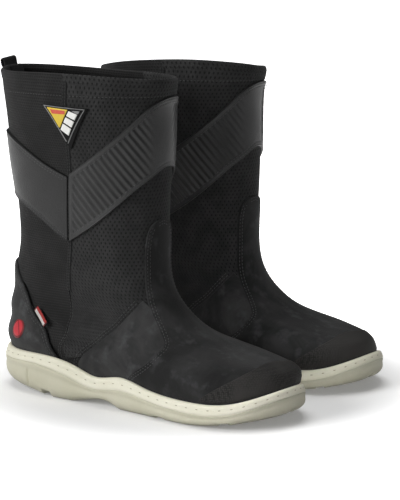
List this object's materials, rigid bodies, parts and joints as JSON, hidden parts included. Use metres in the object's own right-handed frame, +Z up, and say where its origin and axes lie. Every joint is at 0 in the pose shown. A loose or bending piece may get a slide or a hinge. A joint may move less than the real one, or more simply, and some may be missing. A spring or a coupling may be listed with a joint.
{
  "type": "pair of deck boots",
  "caption": "Pair of mid-height deck boots with cream cup soles, nubuck lowers, knitted shafts and a ribbed chevron band.",
  "frame": {"origin": "bottom centre of the pair's bounding box, on the surface the soles stand on", "axes": "+X towards the toes, +Y towards the wearer's left (the right boot stands at -Y), +Z up"},
  "size_m": [0.3116, 0.2632, 0.284],
  "materials": {
    "outsole_rubber": "matt, fine grain",
    "welt_rubber": "matt cream",
    "welt_thread": "waxed thread",
    "foam": "foam",
    "steel": "brushed",
    "board": "fibre board",
    "footbed_foam": "knit-faced foam",
    "lining_knit": "knit",
    "shaft_mesh": "dotted mesh",
    "shaft_weave": "fine rib weave",
    "stiffener": "matt",
    "nubuck": "oiled nubuck",
    "cap_rubber": "fine grain",
    "ribbed_leather": "embossed ribs, satin",
    "smooth_leather": "smooth matt",
    "webbing": "woven",
    "badge_black": "matt",
    "badge_yellow": "print",
    "badge_white": "print",
    "emblem_red": "moulded",
    "tab_weave": "woven"
  },
  "bodies": {
    "right_boot": {"right_outsole": "outsole_rubber", "right_midsole_wall": "welt_rubber", "right_welt_stitching": "welt_thread", "right_midsole_core": "foam", "right_shank": "steel", "right_insole_board": "board", "right_lining": "lining_knit", "right_collar_hem": "lining_knit", "right_shaft_front_panel": "shaft_mesh", "right_shaft_rear_panel": "shaft_weave", "right_toe_puff": "stiffener", "right_heel_stiffener": "stiffener", "right_vamp": "nubuck", "right_lateral_quarter": "nubuck", "right_medial_quarter": "nubuck", "right_heel_counter": "nubuck", "right_toe_cap": "cap_rubber", "right_band_front": "ribbed_leather", "right_band_rear": "smooth_leather", "right_lateral_seam_tape": "smooth_leather", "right_medial_seam_tape": "smooth_leather", "right_back_stay": "webbing", "right_badge_base": "badge_black", "right_badge_yellow_field": "badge_yellow", "right_badge_white_blocks": "badge_white", "right_heel_emblem": "emblem_red"},
    "right_footbed_body": {"right_footbed": "footbed_foam"},
    "right_loop_body": {"right_pull_loop": "webbing"},
    "right_tab_body": {"right_flag_tab": "tab_weave"},
    "left_boot": {"left_outsole": "outsole_rubber", "left_midsole_wall": "welt_rubber", "left_welt_stitching": "welt_thread", "left_midsole_core": "foam", "left_shank": "steel", "left_insole_board": "board", "left_lining": "lining_knit", "left_collar_hem": "lining_knit", "left_shaft_front_panel": "shaft_mesh", "left_shaft_rear_panel": "shaft_weave", "left_toe_puff": "stiffener", "left_heel_stiffener": "stiffener", "left_vamp": "nubuck", "left_lateral_quarter": "nubuck", "left_medial_quarter": "nubuck", "left_heel_counter": "nubuck", "left_toe_cap": "cap_rubber", "left_band_front": "ribbed_leather", "left_band_rear": "smooth_leather", "left_lateral_seam_tape": "smooth_leather", "left_medial_seam_tape": "smooth_leather", "left_back_stay": "webbing", "left_badge_base": "badge_black", "left_badge_yellow_field": "badge_yellow", "left_badge_white_blocks": "badge_white", "left_heel_emblem": "emblem_red"},
    "left_footbed_body": {"left_footbed": "footbed_foam"},
    "left_loop_body": {"left_pull_loop": "webbing"},
    "left_tab_body": {"left_flag_tab": "tab_weave"}
  },
  "joints": [
    {"name": "left_boot_lift", "type": "slide", "parent": "right_boot", "child": "left_boot", "axis": [0, 0, 1], "range_m": [0, 0.4]},
    {"name": "right_footbed_lift", "type": "hinge", "parent": "right_boot", "child": "right_footbed_body", "pos_m": [0.13868, -0.07249, 0.027], "axis": [0, 1, 0], "range_deg": [0, 8]},
    {"name": "right_pull_loop_bend", "type": "hinge", "parent": "right_boot", "child": "right_loop_body", "pos_m": [-0.14152, -0.07249, 0.275], "axis": [0, 1, 0], "range_deg": [-15, 15], "stiffness_Nm_per_rad": 0.02},
    {"name": "right_flag_tab_bend", "type": "hinge", "parent": "right_boot", "child": "right_tab_body", "pos_m": [-0.08662, -0.10865, 0.07732], "axis": [0.7039, -0.1636, -0.6912], "range_deg": [0, 60], "stiffness_Nm_per_rad": 0.002},
    {"name": "left_footbed_lift", "type": "hinge", "parent": "left_boot", "child": "left_footbed_body", "pos_m": [0.12404, 0.08144, 0.027], "axis": [-0.0471, 0.9989, 0], "range_deg": [0, 8]},
    {"name": "left_pull_loop_bend", "type": "hinge", "parent": "left_boot", "child": "left_loop_body", "pos_m": [-0.14286, 0.06886, 0.262], "axis": [0.0471, -0.9989, 0], "range_deg": [0, 150]},
    {"name": "left_flag_tab_bend", "type": "hinge", "parent": "left_boot", "child": "left_tab_body", "pos_m": [-0.10271, 0.10695, 0.07732], "axis": [-0.6954, -0.1966, 0.6912], "range_deg": [0, 60], "stiffness_Nm_per_rad": 0.002}
  ]
}
